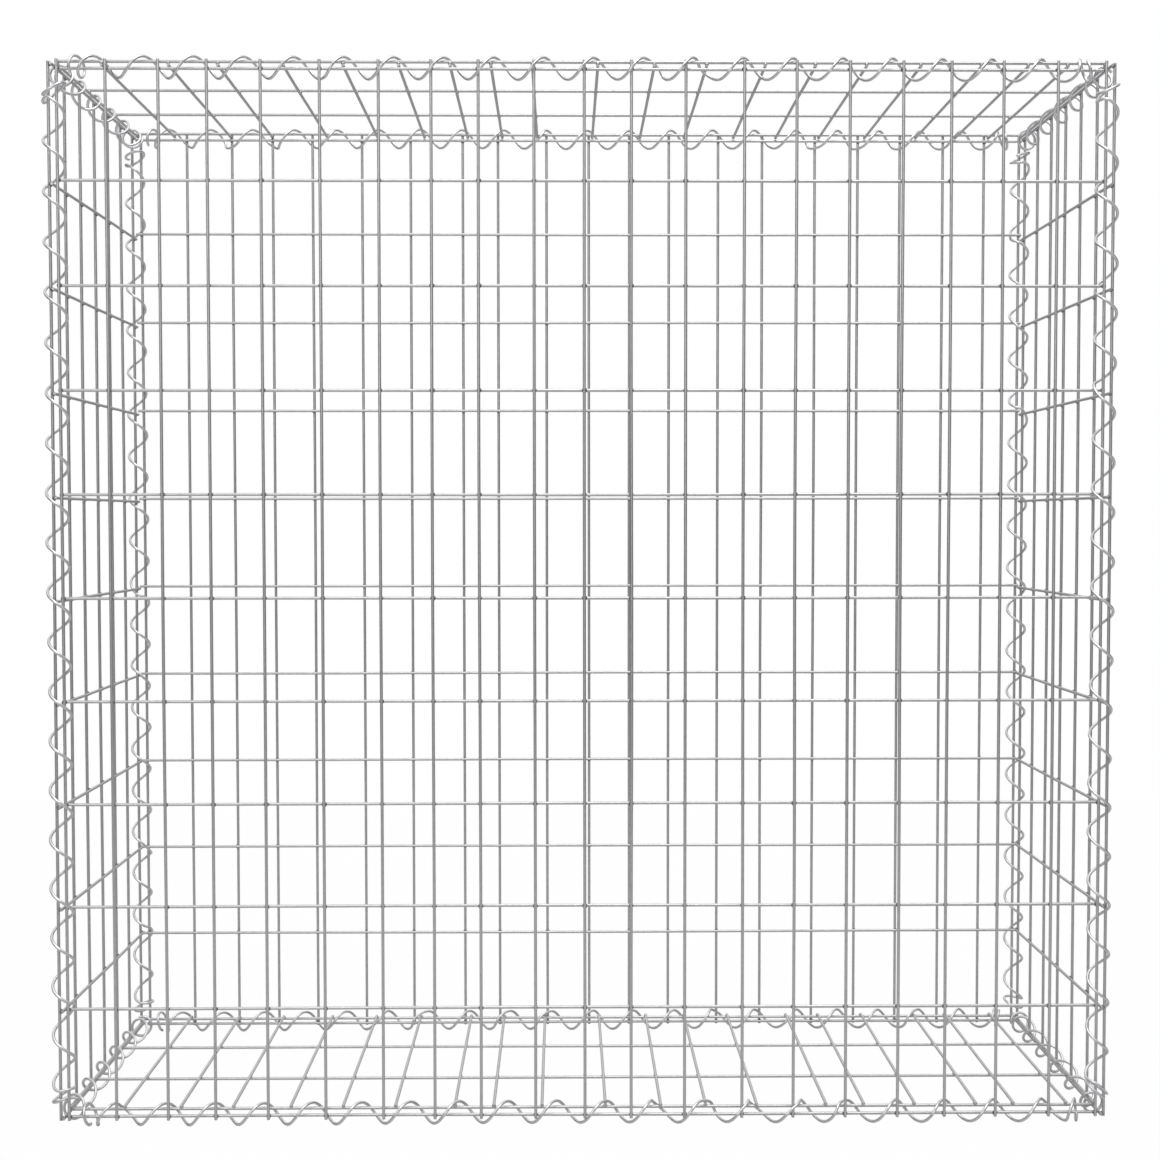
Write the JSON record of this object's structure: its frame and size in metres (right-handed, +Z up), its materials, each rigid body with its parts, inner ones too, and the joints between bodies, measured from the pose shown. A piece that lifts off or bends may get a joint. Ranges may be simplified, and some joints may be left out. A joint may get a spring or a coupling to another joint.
{
  "type": "gabion basket",
  "caption": "Empty upright gabion basket of galvanised welded wire mesh, closed on all sides and laced along every edge with spiral binders.",
  "frame": {"origin": "middle of the underside, on the ground below the lowest turns of the bottom spirals", "axes": "+X along the width to the right as seen from the front, +Y through the depth away from the front, +Z up"},
  "size_m": [1.0329, 0.3199, 1.0319],
  "materials": {
    "mesh_wire": "bare galvanised, dull grey",
    "binder_wire": "bare galvanised, brighter"
  },
  "bodies": {
    "root": {"front_panel": "mesh_wire", "back_panel": "mesh_wire", "left_panel": "mesh_wire", "right_panel": "mesh_wire", "lid_panel": "mesh_wire", "base_panel": "mesh_wire", "spiral_front_top": "binder_wire", "spiral_front_bottom": "binder_wire", "spiral_front_left": "binder_wire", "spiral_front_right": "binder_wire", "spiral_back_top": "binder_wire", "spiral_back_bottom": "binder_wire", "spiral_back_left": "binder_wire", "spiral_back_right": "binder_wire", "spiral_left_top": "binder_wire", "spiral_left_bottom": "binder_wire", "spiral_right_top": "binder_wire", "spiral_right_bottom": "binder_wire"}
  },
  "joints": []
}
